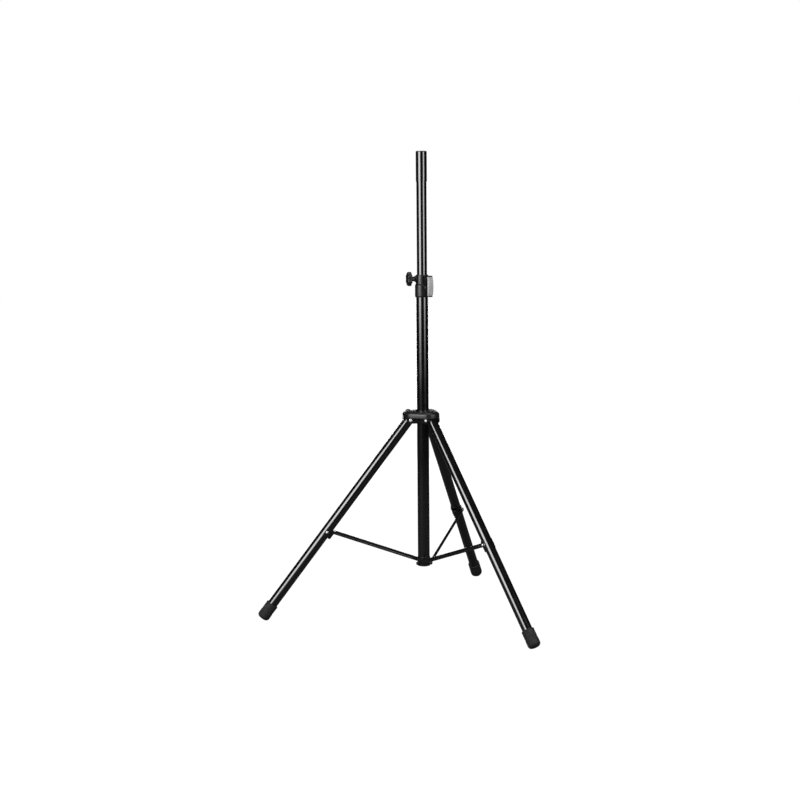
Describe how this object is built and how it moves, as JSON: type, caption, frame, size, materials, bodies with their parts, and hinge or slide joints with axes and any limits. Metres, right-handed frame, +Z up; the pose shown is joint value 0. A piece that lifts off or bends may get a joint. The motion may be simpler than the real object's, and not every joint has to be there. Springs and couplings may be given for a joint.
{
  "type": "speaker tripod stand",
  "caption": "Folding tripod stand for a loudspeaker: a telescopic mast with a clamp knob, a sliding hub, braced legs and rubber boots.",
  "frame": {"origin": "on the floor, on the mast's axis", "axes": "+Z up the mast, +X along leg 1; legs 2 and 3 follow at 120 and 240 degrees"},
  "size_m": [0.8943, 1.0257, 1.6224],
  "materials": {
    "gloss_black_tube": "gloss black stove enamel",
    "black_casting": "satin black paint over a casting",
    "black_plastic": "fine-grained black plastic",
    "zinc_steel": "bright zinc plate",
    "nylon": "black nylon",
    "grey_plate": "plain light grey plate",
    "black_moulding": "semi-gloss black moulding",
    "boot_rubber": "matt black rubber",
    "black_steel": "gloss black paint on pressed steel",
    "brass": "turned brass",
    "knob_plastic": "black moulded plastic"
  },
  "bodies": {
    "root": {"outer_tube": "gloss_black_tube", "bottom_collar": "black_casting", "end_plug": "black_plastic", "collar_bolts": "zinc_steel", "clamp_housing": "black_casting", "housing_bush": "nylon", "block_bolt": "zinc_steel", "cover_plate": "grey_plate"},
    "inner_mast": {"inner_tube": "gloss_black_tube", "pole_sleeve": "gloss_black_tube", "pole_cap": "black_plastic", "guide_bush": "nylon"},
    "hub": {"hub_yoke": "black_casting", "hub_liner": "nylon", "hub_cap": "black_moulding", "leg_pivot_bolts": "zinc_steel", "leg_pivot_nuts": "zinc_steel"},
    "leg_1": {"leg_1_tube": "gloss_black_tube", "leg_1_plug": "black_plastic", "leg_1_boot": "boot_rubber", "leg_1_saddle": "black_steel", "leg_1_saddle_rivet": "zinc_steel"},
    "brace_1": {"brace_1_bar": "black_steel", "brace_1_rivet": "zinc_steel"},
    "leg_2": {"leg_2_tube": "gloss_black_tube", "leg_2_plug": "black_plastic", "leg_2_boot": "boot_rubber", "leg_2_saddle": "black_steel", "leg_2_saddle_rivet": "zinc_steel"},
    "brace_2": {"brace_2_bar": "black_steel", "brace_2_rivet": "zinc_steel"},
    "leg_3": {"leg_3_tube": "gloss_black_tube", "leg_3_plug": "black_plastic", "leg_3_boot": "boot_rubber", "leg_3_saddle": "black_steel", "leg_3_saddle_rivet": "zinc_steel"},
    "brace_3": {"brace_3_bar": "black_steel", "brace_3_rivet": "zinc_steel"},
    "mast_clamp_screw": {"mast_clamp_screw": "zinc_steel", "mast_clamp_shoe": "brass"},
    "mast_clamp_knob": {"mast_clamp_knob": "knob_plastic"},
    "hub_lock_screw": {"hub_lock_screw": "zinc_steel", "hub_lock_shoe": "brass"},
    "hub_lock_knob": {"hub_lock_knob": "knob_plastic"}
  },
  "joints": [
    {"name": "mast_height", "type": "slide", "parent": "root", "child": "inner_mast", "axis": [0, 0, 1], "range_m": [-0.312, 0.5]},
    {"name": "hub_slide", "type": "slide", "parent": "root", "child": "hub", "axis": [0, 0, 1], "range_m": [0, 0.3362]},
    {"name": "leg_1_fold", "type": "hinge", "parent": "hub", "child": "leg_1", "pos_m": [0.048, 0, 0.69689], "axis": [0, 1, 0], "range_deg": [0, 35.91]},
    {"name": "brace_1_fold", "type": "hinge", "parent": "root", "child": "brace_1", "pos_m": [0, -0.02275, 0.18284], "axis": [0, -1, 0], "range_deg": [0, 60.4]},
    {"name": "leg_2_fold", "type": "hinge", "parent": "hub", "child": "leg_2", "pos_m": [-0.024, 0.04157, 0.69689], "axis": [-0.866, -0.5, 0], "range_deg": [0, 35.91]},
    {"name": "brace_2_fold", "type": "hinge", "parent": "root", "child": "brace_2", "pos_m": [0.0197, 0.01137, 0.18284], "axis": [0.866, 0.5, 0], "range_deg": [0, 60.4]},
    {"name": "leg_3_fold", "type": "hinge", "parent": "hub", "child": "leg_3", "pos_m": [-0.024, -0.04157, 0.69689], "axis": [0.866, -0.5, 0], "range_deg": [0, 35.91]},
    {"name": "brace_3_fold", "type": "hinge", "parent": "root", "child": "brace_3", "pos_m": [-0.0197, 0.01137, 0.18284], "axis": [-0.866, 0.5, 0], "range_deg": [0, 60.4]},
    {"name": "mast_clamp_screw_out", "type": "slide", "parent": "root", "child": "mast_clamp_screw", "axis": [-0.4384, -0.8988, 0], "range_m": [0, 0.0035]},
    {"name": "mast_clamp_knob_turn", "type": "hinge", "parent": "mast_clamp_screw", "child": "mast_clamp_knob", "pos_m": [0, 0, 1.18584], "axis": [-0.4384, -0.8988, 0], "range_deg": [0, 720]},
    {"name": "hub_lock_screw_out", "type": "slide", "parent": "hub", "child": "hub_lock_screw", "axis": [-1, 0, 0], "range_m": [0, 0.0035]},
    {"name": "hub_lock_knob_turn", "type": "hinge", "parent": "hub_lock_screw", "child": "hub_lock_knob", "pos_m": [0, 0, 0.69839], "axis": [-1, 0, 0], "range_deg": [0, 720]}
  ],
  "couplings": [
    {"joint": "leg_1_fold", "follows": "hub_slide", "rad_per_m": 1.8637},
    {"joint": "brace_1_fold", "follows": "hub_slide", "rad_per_m": 3.1351},
    {"joint": "leg_2_fold", "follows": "hub_slide", "rad_per_m": 1.8637},
    {"joint": "brace_2_fold", "follows": "hub_slide", "rad_per_m": 3.1351},
    {"joint": "leg_3_fold", "follows": "hub_slide", "rad_per_m": 1.8637},
    {"joint": "brace_3_fold", "follows": "hub_slide", "rad_per_m": 3.1351},
    {"joint": "mast_clamp_knob_turn", "follows": "mast_clamp_screw_out", "rad_per_m": 3590},
    {"joint": "hub_lock_knob_turn", "follows": "hub_lock_screw_out", "rad_per_m": 3590}
  ]
}
